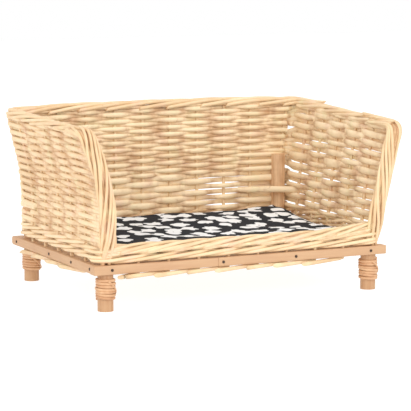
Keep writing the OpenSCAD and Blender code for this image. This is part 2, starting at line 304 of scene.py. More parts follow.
def cotton_material():
    """Dark cotton with rounded light shapes, each made of a few lobes"""
    look = bpy.context.scene.pet_bed_cushion
    recipe = Recipe("printed_cotton")
    step = 1.0 / look.cell
    wobble = recipe.node("ShaderNodeTexNoise", {},
                         {"Vector": recipe.place(), "Scale": PRINT_WOBBLE, "Detail": 1.0}, 1)
    moved = recipe.node("ShaderNodeMix", {"data_type": "VECTOR"},
                        {0: 0.004, 4: recipe.place(), 5: wobble}, 1)
    flat = recipe.stretched(moved, (step, step, 0.0))
    near = recipe.node("ShaderNodeTexVoronoi", {"voronoi_dimensions": "2D"},
                       {"Vector": flat, "Scale": 1.0, "Randomness": 0.7}, 0)
    lobes = recipe.node("ShaderNodeTexVoronoi", {"voronoi_dimensions": "2D"},
                        {"Vector": flat, "Scale": 2.35, "Randomness": 0.8}, 0)
    shape = recipe.soft_step(0.53 - near - lobes * 0.36, 0.0, 0.03)
    thread, cross = (recipe.node("ShaderNodeTexWave", {"wave_type": "BANDS", "bands_direction": axis},
                                 {"Vector": recipe.place(), "Scale": COTTON_THREAD, "Distortion": 0.6})
                     for axis in ("X", "Y"))
    cloth = recipe.noise(recipe.place(), COTTON_CLOUD, 3.0, 0.6)
    white = recipe.blend(cloth, look.white, tuple(0.86 * c for c in look.white))
    black = recipe.blend(cloth, look.black, tuple(1.9 * c for c in look.black))
    colour = recipe.blend(shape, black, white)
    recipe.surface.inputs["Specular IOR Level"].default_value = 0.12
    return recipe.finish(colour, 0.82 + cloth * 0.1, recipe.bump(thread * cross + cloth * 0.6, 0.25, 0.0005))


def batten_material(name, grain):
    wood = bpy.context.scene.pet_bed_wood
    return grained_wood(name, wood.batten, wood.batten_dark, grain, BATTEN_PATCH, 1.3, 0.5)


def pole_material():
    wood = bpy.context.scene.pet_bed_wood
    return grained_wood("peeled_pole", wood.pole, wood.pole_dark, POLE_GRAIN, POLE_PATCH, 1.5, 0.45,
                        wood.post)


MAKERS = {
    "willow": willow_material,
    "batten_x": lambda: batten_material("batten_along_x", GRAIN_ALONG_X),
    "batten_y": lambda: batten_material("batten_along_y", GRAIN_ALONG_Y),
    "pole": pole_material,
    "cane": cane_material,
    "nail": nail_material,
    "cotton": cotton_material,
}
MADE = {}


def material(name):
    """The named finish, made the first time that it is asked for"""
    if name not in MADE:
        MADE[name] = MAKERS[name]()
    return MADE[name]


# Places taken from the fixed frame


# The basket is a little uneven: how far the right tip hangs, how far the left one stands up, and how far the
# left wall is drawn in at half height
RIGHT_DIP = 4.5 * MM
LEFT_LIFT = 3.5 * MM
LEFT_BOW = 6.5 * MM

# How far the side walls flare out at the rim, how fast they do so, and the radii of the corners in plan
FLARE = 24.0 * MM
FLARE_POWER = 1.45
REAR_CORNER = 15.0 * MM
FRONT_CORNER = 18.0 * MM

# How far the side walls' front edge stands behind the front batten's face at its foot
EDGE_BACK = 7.0 * MM

# How far the rods' middle lies inside the boxes of the rear rim, of the side rims' tips and of the front rim
RIM_IN = 7.0 * MM
TIP_BEHIND = 6.0 * MM
TIP_ABOVE = 3.5 * MM
FRONT_RIM_IN = 3.0 * MM

# How far the first and the last stake of a side wall stand from the legs
FIRST_STAKE = 31.0 * MM
LAST_STAKE = 28.0 * MM

BACK_STAKES = 8
SIDE_STAKES = 5


def ease(t):
    """0 to 1 with a soft start and end"""
    return t * t * (3 - 2 * t)


def run_along(points):
    """Distance walked along a line, at each of its points"""
    return np.concatenate([[0.0], np.cumsum(np.linalg.norm(np.diff(points, axis=0), axis=1))])


def read_off(where, run, values):
    """Rows of values, read off at distances along a line"""
    return np.stack([np.interp(where, run, values[:, i]) for i in range(values.shape[1])], -1)


class Basket:
    """Where the parts of the frame lie, in metres"""

    def __init__(self):
        left_low, left_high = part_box("batten_left")
        leg_low, leg_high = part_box("leg_front_right")
        post_low, post_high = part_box("leg_back_right")
        tip_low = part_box("rim_right")[0]
        self.batten_w = left_high.x - left_low.x
        self.frame_h = left_low.z
        self.top_z = left_high.z
        self.front_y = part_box("batten_front_left")[0].y
        self.leg_x = (leg_low.x + leg_high.x) / 2
        self.leg_y = (leg_low.y + leg_high.y) / 2
        self.leg_r = (leg_high.x - leg_low.x) / 2
        self.post_y = (post_low.y + post_high.y) / 2
        self.post_h = post_high.z
        self.wall_x = -left_low.x - self.batten_w / 2
        self.wall_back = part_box("batten_back")[1].y - self.batten_w / 2
        self.wall_front = self.front_y + self.batten_w / 2
        self.mid_z = (self.frame_h + self.top_z) / 2
        self.rim_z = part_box("rim_back")[1].z - RIM_IN
        self.tip_y = tip_low.y + TIP_BEHIND
        self.tip_z = tip_low.z + TIP_ABOVE
        self.front_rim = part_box("rim_front")[1].z - FRONT_RIM_IN
        self.pitch = 2 * self.leg_x / (BACK_STAKES + 1)
        self.back_xs = [-self.leg_x + (i + 1) * self.pitch for i in range(BACK_STAKES)]
        first = self.leg_y + self.leg_r + FIRST_STAKE
        last = self.post_y - self.leg_r - LAST_STAKE
        self.side_ys = [first + i * (last - first) / (SIDE_STAKES - 1) for i in range(SIDE_STAKES)]

    def lean(self, z):
        """How far out of the foot a side wall's middle stands at a height"""
        t = np.clip((np.asarray(z) - self.mid_z) / (self.rim_z - self.mid_z), 0.0, 1.1)
        return self.wall_x + FLARE * t ** FLARE_POWER

    def edge_y(self, z):
        """Front edge of the side walls at a height"""
        t = (np.asarray(z) - self.top_z) / (self.tip_z - self.top_z)
        return self.front_y + EDGE_BACK + (self.tip_y - self.front_y - EDGE_BACK) * t

    def rim_height(self, y, x=0.0):
        """Height of the rim at a place: it falls towards the tips, and more so on the right"""
        t = np.clip((np.asarray(y) - self.tip_y) / (self.wall_back - self.tip_y), 0.0, 1.0)
        share = np.clip(np.asarray(x) / self.wall_x, -1.0, 1.0) * (1 - t)
        uneven = np.where(share > 0, -RIGHT_DIP * share, -LEFT_LIFT * share)
        return self.tip_z + (self.rim_z - self.tip_z) * t + uneven

    def bowed(self, places):
        """Draws the left wall in at half height; the hump of 16 t^2 (1 - t)^2 is 1 there"""
        t = np.clip((places[:, 2] - self.top_z) / (self.tip_z - self.top_z), 0.0, 1.0)
        share = np.clip(-places[:, 0] / self.wall_x, 0.0, 1.0)
        places[:, 0] += LEFT_BOW * 16.0 * t ** 2 * (1 - t) ** 2 * share
        return places

    def wall(self, g, z):
        """Plan of the three walls: g runs 0-1 on the left, 1-2 round the corner, 2-3 on the back, 3-4 round
        the corner and 4-5 on the right; gives x, y and the outward direction"""
        g = np.asarray(g, float)
        out = self.lean(z)
        start = self.edge_y(z)
        turn = self.wall_back - REAR_CORNER
        flat = out - REAR_CORNER
        t = np.clip(g, 0.0, 1.0)
        x = -out
        y = start + (turn - start) * t
        nx = -np.ones_like(g)
        ny = np.zeros_like(g)
        for low, side in ((1.0, -1.0), (3.0, 1.0)):
            inside = (g >= low) & (g < low + 1.0)
            a = (g - low) * math.pi / 2
            if side > 0:
                a = math.pi / 2 - a
            x = np.where(inside, side * (flat + REAR_CORNER * np.cos(a)), x)
            y = np.where(inside, turn + REAR_CORNER * np.sin(a), y)
            nx = np.where(inside, side * np.cos(a), nx)
            ny = np.where(inside, np.sin(a), ny)
        inside = (g >= 2.0) & (g < 3.0)
        x = np.where(inside, -flat + 2 * flat * (g - 2.0), x)
        y = np.where(inside, self.wall_back, y)
        nx = np.where(inside, 0.0, nx)
        ny = np.where(inside, 1.0, ny)
        inside = g >= 4.0
        x = np.where(inside, out, x)
        y = np.where(inside, turn + (start - turn) * (g - 4.0), y)
        nx = np.where(inside, 1.0, nx)
        ny = np.where(inside, 0.0, ny)
        return x, y, nx, ny

    def side_g(self, y, z, side):
        """g of a place along a side wall"""
        start = float(self.edge_y(z))
        t = (y - start) / (self.wall_back - REAR_CORNER - start)
        return t if side < 0 else 5.0 - t

    def back_g(self, x, z):
        flat = float(self.lean(z)) - REAR_CORNER
        return 2.0 + (x + flat) / (2 * flat)


BASKET = Basket()


# Rods


UPWARDS = (0.0, 0.0, 1.0)
TINY = 1e-12


class Rods:
    """Round rods, each swept along its own points, gathered into one mesh"""

    def __init__(self, sides=8):
        self.sides = sides
        self.places = []
        self.faces = []
        self.flat = []
        self.uvs = []
        self.tones = []
        self.dives = []
        self.count = 0

    def add(self, points, radius, tall=None, tone=0.5, dive_shade=0.0, guide=UPWARDS, cut=(0.0, 0.0)):
        """radius is across the rod, tall is its half height along the guide direction, cut leans its ends,
        tone is its colour tone, and the dive shade sets its painted shade, most where it dives behind a stake"""
        points = np.asarray(points, float)
        n = len(points)
        radius = np.broadcast_to(np.asarray(radius, float), (n,))
        tall = radius if tall is None else np.broadcast_to(np.asarray(tall, float), (n,))
        step = np.gradient(points, axis=0)
        step /= np.linalg.norm(step, axis=1, keepdims=True) + TINY
        if guide is None:
            up = self.carried(step)
        else:
            guide = np.asarray(guide, float)
            up = guide[None, :] - step * (step @ guide)[:, None]
            up /= np.linalg.norm(up, axis=1, keepdims=True) + TINY
        side = np.cross(step, up)
        m = self.sides
        angle = np.arange(m) * 2 * math.pi / m
        ring = (points[:, None, :] + side[:, None, :] * (radius[:, None] * np.cos(angle))[:, :, None]
                + up[:, None, :] * (tall[:, None] * np.sin(angle))[:, :, None])
        ring[0] += step[0] * (cut[0] * radius[0] * np.sin(angle))[:, None]
        ring[-1] += step[-1] * (cut[1] * radius[-1] * np.sin(angle))[:, None]
        base = self.count
        self.places.append(ring.reshape(-1, 3))
        run = run_along(points)
        girth = 2 * math.pi * float(radius.mean()) / m
        i, j = np.meshgrid(np.arange(n - 1), np.arange(m), indexing="ij")
        k = (j + 1) % m
        here = base + i * m
        ahead = here + m
        quads = np.stack([here + j, here + k, ahead + k, ahead + j], -1)
        self.faces.extend(quads.reshape(-1, 4).tolist())
        self.flat.extend([False] * ((n - 1) * m))
        shift = random.random()
        us = np.stack([j, j + 1, j + 1, j], -1) * girth + shift
        vs = np.stack([run[i], run[i], run[i + 1], run[i + 1]], -1) + shift
        self.uvs.append(np.stack([us, vs], -1).reshape(-1, 2))
        for end, order in ((0, range(m - 1, -1, -1)), (n - 1, range(m))):
            self.faces.append([base + end * m + a for a in order])
            self.flat.append(True)
            self.uvs.append(np.array([[math.cos(a) * girth, math.sin(a) * girth] for a in angle]) + shift)
        self.tones.append(np.repeat(np.broadcast_to(np.asarray(tone, float), (n,)), m))
        self.dives.append(np.repeat(np.broadcast_to(np.asarray(dive_shade, float), (n,)), m))
        self.count += n * m

    def carried(self, step):
        """A cross direction carried along the rod without twist"""
        start = np.array(UPWARDS) if abs(step[0][2]) < 0.8 else np.array([0.0, 1.0, 0.0])
        up = np.zeros_like(step)
        now = start - step[0] * (start @ step[0])
        for i, direction in enumerate(step):
            now = now - direction * (now @ direction)
            now = now / (np.linalg.norm(now) + TINY)
            up[i] = now
        return up

    def build(self, name, finish):
        """One mesh of all the rods, with their girth on U, their length on V and their tones as attributes"""
        mesh = bpy.data.meshes.new(name)
        places = BASKET.bowed(np.concatenate(self.places))
        mesh.from_pydata(places.tolist(), [], self.faces)
        layer = mesh.uv_layers.new(name="girth")
        layer.data.foreach_set("uv", np.concatenate(self.uvs).astype(np.float32).ravel())
        for label, values in (("tone", self.tones), ("dive_shade", self.dives)):
            attribute = mesh.attributes.new(label, "FLOAT", "POINT")
            attribute.data.foreach_set("value", np.concatenate(values).astype(np.float32))
        mesh.polygons.foreach_set("use_smooth", [not f for f in self.flat])
        mesh.materials.append(material(finish))
        mesh.validate()
        mesh.update()
        piece = bpy.data.objects.new(name, mesh)
        bpy.context.scene.collection.objects.link(piece)
        return piece


def settle(piece, slot, body="basket", *nodes):
    """Puts a finished piece on its body and hides the frame nodes that it stands for; slot is not used"""
    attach(piece, body)
    if nodes:
        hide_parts(*nodes)


def wander(n, size, knots, rng):
    """A smooth random drift along a rod"""
    marks = rng.uniform(-1.0, 1.0, knots + 4)
    where = np.linspace(0.0, knots, n)
    cell = np.floor(where).astype(int)
    t = ease(where - cell)
    return size * (marks[cell] * (1 - t) + marks[cell + 1] * t)


def through(marks, values, where):
    """Values at marks, joined by smooth waves"""
    marks = np.asarray(marks, float)
    values = np.asarray(values, float)
    where = np.clip(where, marks[0], marks[-1])
    cell = np.clip(np.searchsorted(marks, where, side="right") - 1, 0, len(marks) - 2)
    t = (where - marks[cell]) / (marks[cell + 1] - marks[cell])
    wave = (1 - np.cos(math.pi * t)) / 2
    return values[cell] * (1 - wave) + values[cell + 1] * wave


# Woven rows


# Height of the lowest row, the clear height under the rim, and how far the rows drift up and down
ROW_LOW = 92.0 * MM
ROW_CLEAR = 9.0 * MM
DRIFT = 1.7 * MM

# The lowest rows are coarse. These two pass inside the rear posts, between these values of g, and short rods
# close the outside of the corners there
COARSE_ROWS = 6
POST_ROWS = (3, 8)
POST_CHORDS = ((0.90, 2.13), (2.87, 4.10))
CORNER_SPANS = ((0.84, 2.16), (2.84, 4.16))

# Where a row changes from the left wall's height to the back's, and from the back's to the right wall's
LEFT_TURN = 0.82
RIGHT_TURN = 2.88
TURN = 1.3

# A thickness above this is a coarse row, which keeps its shape where it lies over a stake
FULL = 1.1

# Points along one wall's share of a row, and the slot beside the right rear post: its place, width and depth
ROW_POINTS = 62
SLOT_AT = 2.76
SLOT_WIDE = 0.10
SLOT_DEEP = 0.30


def row_heights(count, coarse, top):
    """Heights of the rows of one wall: the lowest ones lie further apart"""
    weights = np.array([coarse if i < COARSE_ROWS else 1.0 for i in range(count - 1)])
    steps = np.cumsum(np.concatenate([[0.0], weights]))
    return ROW_LOW + (top - ROW_LOW) * steps / steps[-1]


def spread(total, some):
    """Pairs of neighbouring numbers out of a total that leave some of them"""
    pairs = (total - some) // 2
    gaps = []
    for i in range(pairs):
        at = int((i + 0.7) * total / (pairs + 0.4))
        gaps.extend([at, at + 1])
    return gaps


def row_stations(z, parity, last):
    """Places along a row up to a last value of g, with the side of the wall that the rod passes on at each: 1
    is outside, -1 inside, and more than 1 clears a rear post. Above the posts a corner stake takes over"""
    above = z > BASKET.post_h + 3 * MM
    corner = 1.0 if above else 1.4
    stake = 0.9 if parity else -0.9
    stops = [(0.0, 0.0)]
    stops += [(BASKET.side_g(y, z, -1), weave_side(k, parity)) for k, y in enumerate(BASKET.side_ys)]
    stops.append((1.5, corner))
    if above:
        stops.append((2.0, -stake))
    stops += [(BASKET.back_g(x, z), weave_side(k, parity)) for k, x in enumerate(BASKET.back_xs)]
    if above and last >= 3:
        stops.append((3.0, stake))
    if last >= 4:
        stops.append((3.5, corner))
        rear_first = enumerate(reversed(BASKET.side_ys))
        stops += [(BASKET.side_g(y, z, 1), weave_side(k, parity)) for k, y in rear_first]
        stops.append((5.0, 0.0))
    marks, sides = zip(*stops)
    return marks, sides


def weave_side(number, parity):
    """Rods pass outside every second stake"""
    return 1.0 if (number + parity) % 2 else -1.0


def blended(three, join_left, join_right):
    """Values of the left, back and right wall, run into each other along a row"""
    left, back, right = three
    return left + (back - left) * join_left + (right - back) * join_right


def pass_inside(points, g):
    """Takes a row straight across the room side of the rear posts"""
    for first, last in POST_CHORDS:
        inside = np.flatnonzero((g > first) & (g < last))
        low, high = inside[0], inside[-1]
        t = np.linspace(0.0, 1.0, len(inside))[:, None]
        points[inside, :2] = (points[low] * (1 - t) + points[high] * t)[:, :2]
        for _ in range(3):
            points[1:-1] = (points[:-2] + points[1:-1] + points[2:]) / 3
    return points


def woven_row(rods, rng, parity, heights, thick, last, post_inside=False):
    """One row from the left wall's front edge to a last value of g; heights and thick have a value a wall"""
    look = bpy.context.scene.pet_bed_willow
    n = int(last * ROW_POINTS)
    g = np.linspace(0.0, last, n)
    join_left = ease(np.clip((g - LEFT_TURN) / TURN, 0.0, 1.0))
    join_right = ease(np.clip((g - RIGHT_TURN) / TURN, 0.0, 1.0))
    level = blended(heights, join_left, join_right)
    x, y, nx, ny = BASKET.wall(g, level)
    rise = (BASKET.rim_height(y, x) - ROW_LOW) / (BASKET.rim_z - ROW_LOW)
    z = ROW_LOW + (level - ROW_LOW) * rise
    share = np.clip((level - ROW_LOW) / (BASKET.rim_z - ROW_LOW), 0.0, 1.0)
    z = z + DRIFT * np.sin(2.9 * g + 31.0 * level + 0.8) * np.sin(math.pi * share)
    x, y, nx, ny = BASKET.wall(g, z)
    swing = through(*row_stations(float(heights[1]), parity, last), g)
    rest = np.clip(np.abs(swing), 0.0, 1.0)
    out = look.swing * (0.62 + 0.38 * join_left) * swing * (1 + wander(n, 0.10, 14, rng))
    z = z + wander(n, 0.5 * MM, 10, rng)
    points = np.stack([x + nx * out, y + ny * out, z], -1)
    if post_inside:
        points = pass_inside(points, g)
    pitch = blended(thick, join_left, join_right)
    belly = blended((0.08, 0.20 if thick[1] < FULL else 0.08, 0.08), join_left, join_right)
    uneven = 1 + wander(n, 0.28, 9, rng) * join_right * (thick[2] > FULL)
    slot = SLOT_DEEP * np.exp(-((g - SLOT_AT) / SLOT_WIDE) ** 2) * (thick[1] > FULL)
    radius = look.row_rod / 2 * (0.75 + 0.25 * pitch) * (1 + wander(n, 0.12, 5, rng))
    tall = look.row_rod / 2 * pitch * (1 + wander(n, 0.10, 5, rng))
    tall = tall * (1.26 - 0.08 * join_left + belly * rest ** 1.4) * (uneven - slot)
    # Random tone per rod, plus painted light: the left wall's rods are darker and the right wall's paler,
    # evening out how light falls on the left wall's outer face and the right wall's inner face
    own = rng.uniform(0.0, 0.5) + wander(n, 0.22, 6, rng)
    tone = np.clip(own + 0.62 * (1 - join_left) - 0.12 - 0.15 * join_right, 0.0, 1.0)
    # The last value is painted shade, strongest where the row dives between its stakes
    rods.add(points, radius * 0.86, tall, tone, 1.0 - rest ** 1.5)


def corner_rods(rods, rng, level):
    """Short rods round the outside of the rear corners, where a row passes inside the posts"""
    look = bpy.context.scene.pet_bed_willow
    n = 60
    for first, last in CORNER_SPANS:
        x, y, nx, ny = BASKET.wall(np.linspace(first, last, n), np.full(n, level))
        out = look.swing * 1.3 * np.sin(np.linspace(0.1, 0.9, n) * math.pi)
        points = np.stack([x + nx * out, y + ny * out, level + wander(n, 0.6 * MM, 4, rng)], -1)
        rods.add(points, look.row_rod * 0.45, look.row_rod * 0.78, 0.3 + wander(n, 0.2, 4, rng), 0.3)


def coarseness(row):
    """How thick the rods of a row are in the back wall"""
    if row < COARSE_ROWS:
        return 1.5
    if row == COARSE_ROWS:
        return 1.42
    return 1.0


def build_rows():
    """The left wall has more rows than the back, and the back more than the right: the extra ones end at a
    rear corner, and the lower rows of the right wall stand apart"""
    look = bpy.context.scene.pet_bed_willow
    rng = np.random.default_rng(11)
    rods = Rods(8)
    top = BASKET.rim_z - ROW_CLEAR
    left = row_heights(look.rows_left, 1.05, top)
    back = row_heights(look.rows_back, 1.5, top)
    right = row_heights(look.rows_right, 1.12, top)
    extra = spread(look.rows_left, look.rows_back)
    dropped = spread(look.rows_back, look.rows_right + (look.rows_back - look.rows_right) % 2)
    row = 0
    kept = 0
    for k, height in enumerate(left):
        parity = k % 2
        if k in extra:
            heights = (height, back[min(row, len(back) - 1)], right[0])
            woven_row(rods, rng, parity, heights, (1.0, 1.0, 1.0), 1.75)
            continue
        coarse = coarseness(row)
        if row in dropped:
            woven_row(rods, rng, parity, (height, back[row], back[row]), (1.0, coarse, coarse), 3.3)
        else:
            heights = (height, back[row], right[min(kept, len(right) - 1)])
            right_tall = 1.3 if kept < len(right) * 0.45 else 1.5
            woven_row(rods, rng, parity, heights, (1.0, coarse, right_tall), 5.0, row in POST_ROWS)
            if row in POST_ROWS:
                corner_rods(rods, rng, back[row])
            kept += 1
        row += 1
        if row >= len(back):
            break
    piece = rods.build("woven_rows", "willow")
    settle(piece, "willow", "basket", "weave_back", "weave_left", "weave_right")


# Wales round the foot of the walls

# Heights of the two wales, how tall each is, how far it sinks along the front, from which y on, and how far
# it swings out
WALES = (71.0 * MM, 81.0 * MM)
WALE_TALL = 8.0 * MM
WALE_DIP = 3.0 * MM
WALE_DIP_FROM = -115.0 * MM
WALE_SWING = 4.6 * MM

# How a strand goes in and out over three stakes: places, and its side there
WALE_WAVE = ((0.0, 0.45, 1.0, 1.55, 2.0, 2.5, 3.0), (0.0, 0.85, 1.1, 0.85, 0.0, -1.0, 0.0))

# How far inside the corners of the foot their stakes stand, in x and y
FRONT_STAKE_IN = 5.3 * MM
REAR_STAKE_IN = 4.4 * MM


def foot_loop():
    """Closed middle line of the walls at their foot, walked to the right as seen from outside, and the places
    of the stakes along it"""
    b = BASKET
    x, front, back = b.wall_x + 1.0 * MM, b.wall_front, b.wall_back
    r, q = FRONT_CORNER, REAR_CORNER
    corners = [(-x + q, back - q, q, 90.0, 180.0), (-x + r, front + r, r, 180.0, 270.0),
               (x - r, front + r, r, 270.0, 360.0), (x - q, back - q, q, 0.0, 90.0)]
    points = []
    normals = []
    for cx, cy, radius, start, stop in corners:
        for a in np.linspace(math.radians(start), math.radians(stop), 7):
            points.append((cx + radius * math.cos(a), cy + radius * math.sin(a)))
            normals.append((math.cos(a), math.sin(a)))
    points.append(points[0])
    normals.append(normals[0])
    points = np.array(points)
    normals = np.array(normals)
    run = run_along(points)
    near, far = FRONT_STAKE_IN, REAR_STAKE_IN
    stakes = [(-x, y) for y in reversed(b.side_ys)] + [(-x + near, front + near)]
    stakes += [(s, front) for s in b.back_xs] + [(x - near, front + near)]
    stakes += [(x, y) for y in b.side_ys] + [(x - far, back - far)]
    stakes += [(s, back) for s in reversed(b.back_xs)] + [(-x + far, back - far)]
    dense_run = np.linspace(0.0, run[-1], 4000)
    dense = read_off(dense_run, run, points)
    marks = [float(dense_run[np.argmin(np.linalg.norm(dense - np.array(s), axis=1))]) for s in stakes]
    return run, points, normals, sorted(marks)


def build_wales():
    """Three strands in each wale, each outside two stakes and behind the third"""
    look = bpy.context.scene.pet_bed_willow
    rng = np.random.default_rng(5)
    run, points, normals, marks = foot_loop()
    total = run[-1]
    count = len(marks)
    marks = np.array([marks[-1] - total] + marks + [marks[0] + total])
    labels = np.arange(-1, count + 1)
    rods = Rods(8)
    n = 420
    s = np.linspace(0.0, total, n)
    px, py = read_off(s, run, points).T
    nx, ny = read_off(s, run, normals).T
    size = np.hypot(nx, ny)
    front = np.clip((WALE_DIP_FROM - py) / (30 * MM), 0.0, 1.0)
    for tier, low in enumerate(WALES):
        for strand in range(3):
            phase = np.mod(np.interp(s, marks, labels) - strand - 0.4 + tier * 1.5, 3.0)
            out = through(*WALE_WAVE, phase) * WALE_SWING
            lift = through([0.0, 2.0, 3.0], [0.0, 1.0, 0.0], phase)
            lift = np.where(phase < 2.0, phase / 2.0, 1 - (phase - 2.0)) * 0.6 + lift * 0.4
            z = low - WALE_DIP * front + WALE_TALL * lift + wander(n, 0.4 * MM, 30, rng)
            path = np.stack([px + nx / size * out, py + ny / size * out, z], -1)
            radius = look.wale_rod / 2 * (1 + wander(n, 0.12, 30, rng))
            tone = np.clip(rng.uniform(0.4, 0.8) + wander(n, 0.25, 25, rng), 0.0, 1.0)
            # The last value is painted shade where a strand passes behind a stake
            rods.add(path, radius, radius * 1.05, tone, np.clip(-out / (3 * MM), 0.0, 1.0))
    piece = rods.build("foot_wales", "willow")
    settle(piece, "willow", "basket", "weave_front")


# Stakes

# Each tail lies this far under the batten's foot, is this many stakes' pitches long, and swings out this far
TAIL_DROP = 2.5 * MM
TAIL_REACH = 1.45
TAIL_SWING = 11.0 * MM


def build_stakes():
    """Each stake runs down through the batten and turns along under it, out to a slanting cut"""
    look = bpy.context.scene.pet_bed_willow
    rng = np.random.default_rng(23)
    b = BASKET
    foot_z = b.frame_h - TAIL_DROP
    side_pitch = b.side_ys[1] - b.side_ys[0]
    walls = {
        "stakes_front": ((-1.0, 0.0), (0.0, -1.0), b.pitch,
                         [(x, b.wall_front, b.front_rim, x + b.leg_x) for x in b.back_xs]),
        "stakes_back": ((1.0, 0.0), (0.0, 1.0), b.pitch,
                        [(x, b.wall_back, b.rim_z, b.leg_x - x) for x in b.back_xs]),
        "stakes_left": ((0.0, 1.0), (-1.0, 0.0), side_pitch,
                        [(-1.0, y, float(b.rim_height(y)), b.post_y - y) for y in b.side_ys]),
        "stakes_right": ((0.0, 1.0), (1.0, 0.0), side_pitch,
                         [(1.0, y, float(b.rim_height(y)), b.post_y - y) for y in b.side_ys]),
    }
    for name, (along, outward, pitch, stakes) in walls.items():
        rods = Rods(8)
        for px, py, rim, room in stakes:
            z = np.linspace(rim - 4 * MM, foot_z + 3 * MM, 26)
            x = np.full(26, px) if outward[0] == 0.0 else px * b.lean(z)
            line = np.stack([x, np.full(26, py), z], -1)
            reach = min(TAIL_REACH * pitch, room - b.leg_r - 8.5 * MM)
            swing = TAIL_SWING * reach / (TAIL_REACH * pitch)
            t = np.linspace(0.0, 1.0, 12)[1:]
            foot = np.array([x[-1], py, foot_z])
            tail = foot[None, :] + np.outer(t * reach, [*along, 0.0]) + np.outer(t * swing, [*outward, 0.0])
            tail[:, 2] -= 2.4 * MM * t * rng.uniform(0.6, 1.2)
            bend = foot[None, :] + np.array([[0.25 * MM * along[0], 0.25 * MM * along[1], 0.9 * MM]])
            path = np.concatenate([line, bend, tail])
            n = len(path)
            radius = look.stake / 2 * np.linspace(0.85, 1.25, n) * rng.uniform(0.94, 1.06)
            tone = np.clip(rng.uniform(0.5, 1.0) + wander(n, 0.2, 4, rng), 0.0, 1.0)
            rods.add(path, radius, None, tone, 0.25, None, (0.0, rng.choice([-1.6, 1.6])))
        settle(rods.build(name + "_rods", "willow"), "willow", "basket", name)
    rods = Rods(10)
    for side in (-1, 1):
        z = np.linspace(b.post_h - 20 * MM, b.rim_z - 3 * MM, 18)
        path = np.stack([side * (b.lean(z) - REAR_CORNER), np.full(18, b.wall_back), z], -1)
        rods.add(path, look.stake / 2, None, 0.6 + wander(18, 0.2, 3, rng), 0.5, None)
    settle(rods.build("corner_stakes", "willow"), "willow")


# Rims and borders

# How high a rod climbs where it crosses the others
ROPE_CLIMB = 7.0 * MM

# How far the left rear corner of the rim is drawn in
RIM_PULL = 3.5 * MM

# The edge borders: how round their tip is, how far they run on along the rim, how far inside the wall and
# behind its edge they stand at their foot, how far inside all along, half their width and depth, and the
# length of one turn
EDGE_BEND = 12.0 * MM
EDGE_TAIL = 95.0 * MM
EDGE_FOOT_IN = 9.5 * MM
EDGE_FOOT_BACK = 7.0 * MM
EDGE_IN = {-1: 4.5 * MM, 1: 0.5 * MM}
EDGE_WIDE = 10.0 * MM
EDGE_DEEP = 5.2 * MM
EDGE_TWIST = 270.0 * MM
EDGE_RODS = 9

# The front border climbs from this x on to the right wall, and turns back a little beyond this one
CLIMB_FROM = 115.0 * MM
TURN_FROM = 190.0 * MM


def core(rods, rng, path, normal, places, knots, tone, dive_shade, every):
    """Plain rods that fill a rope: each lies a little out and down from its path"""
    look = bpy.context.scene.pet_bed_willow
    for off, drop in places:
        line = path + normal * off * MM
        line[:, 2] -= drop * MM
        line = line[::every]
        # The dive shade value paints shade on these filler rods inside the rope
        rods.add(line, look.rim_rod * 0.45, None, tone + wander(len(line), 0.2, knots, rng), dive_shade, None)


def rope(rods, rng, path, normal, count, reach, spin, spread, size, tone):
    """Long rods that each lie along part of a path, cross over it and end beyond the next ones; spin says
    which way they cross, and spread how far to each side they lie"""
    run = run_along(path)
    whole = run[-1]
    step = (whole + reach * 0.6) / count
    for k in range(count):
        begin = -reach * 0.45 + k * step + rng.uniform(-0.1, 0.1) * step
        stop = min(begin + reach * rng.uniform(0.88, 1.12), whole)
        start = max(begin, 0.0)
        if stop - start < reach * 0.2:
            continue
        m = max(6, int((stop - start) / (6 * MM)))
        s = np.linspace(start, stop, m)
        t = (s - begin) / reach
        a = math.pi * (-0.12 + 1.24 * t)
        off = -spin * spread * np.cos(a) * rng.uniform(0.92, 1.08)
        points = read_off(s, run, path) + read_off(s, run, normal) * off[:, None]
        points[:, 2] += ROPE_CLIMB * (np.sin(a) - 0.55) + wander(m, 0.4 * MM, 3, rng)
        radius = size / 2 * np.linspace(1.08, 0.82, m) * rng.uniform(0.93, 1.08)
        shade = np.clip(rng.uniform(*tone) + wander(m, 0.12, 3, rng), 0.0, 1.0)
        rods.add(points, radius, None, shade, 0.15, None, (0.6, 1.3))


def rim_path(first, last, n):
    """Middle of the rim over the three walls"""
    b = BASKET
    g = np.linspace(first, last, n)
    z = np.full(n, b.rim_z)
    x, y, nx, ny = b.wall(g, z)
    z = b.rim_height(y, x)
    crown = np.clip(1 - np.abs(x) / b.wall_x, 0.0, 1.0) * (y > b.wall_back - 2 * REAR_CORNER)
    z = z - 2.0 * MM + 3.0 * MM * np.clip(crown * 3, 0.0, 1.0)
    x, y, nx, ny = b.wall(g, z)
    pull = RIM_PULL * np.exp(-((g - 1.2) / 0.8) ** 2)
    return np.stack([x - nx * pull, y - ny * pull, z], -1), np.stack([nx, ny, np.zeros(n)], -1)


def build_rims():
    """The rim of the three walls, with one loose end at the right rear corner"""
    look = bpy.context.scene.pet_bed_willow
    rng = np.random.default_rng(31)
    rods = Rods(8)
    path, normal = rim_path(0.03, 4.97, 500)
    rope(rods, rng, path, normal, 24, 225 * MM, 1.0, 5.4 * MM, look.rim_rod * 1.12, (0.4, 1.0))
    core(rods, rng, path, normal, ((-3.2, 4.5), (3.2, 4.5), (0.0, -0.5)), 20, 0.35, 0.6, 3)
    loose = np.linspace(4.0, 4.26, 12)
    x, y, nx, ny = BASKET.wall(loose, np.full(12, BASKET.rim_z))
    lift = np.linspace(0.0, 1.0, 12) ** 2
    out = 3.0 * MM * (1 - lift)
    z = BASKET.rim_height(y, x) + 1.5 * MM + 4.0 * MM * lift
    rods.add(np.stack([x + nx * out, y, z], -1), look.rim_rod * 0.45, None, 0.2, 0.0, None, (0.0, 1.5))
    settle(rods.build("rim_rods", "willow"), "willow", "basket", "rim_back", "rim_left", "rim_right")


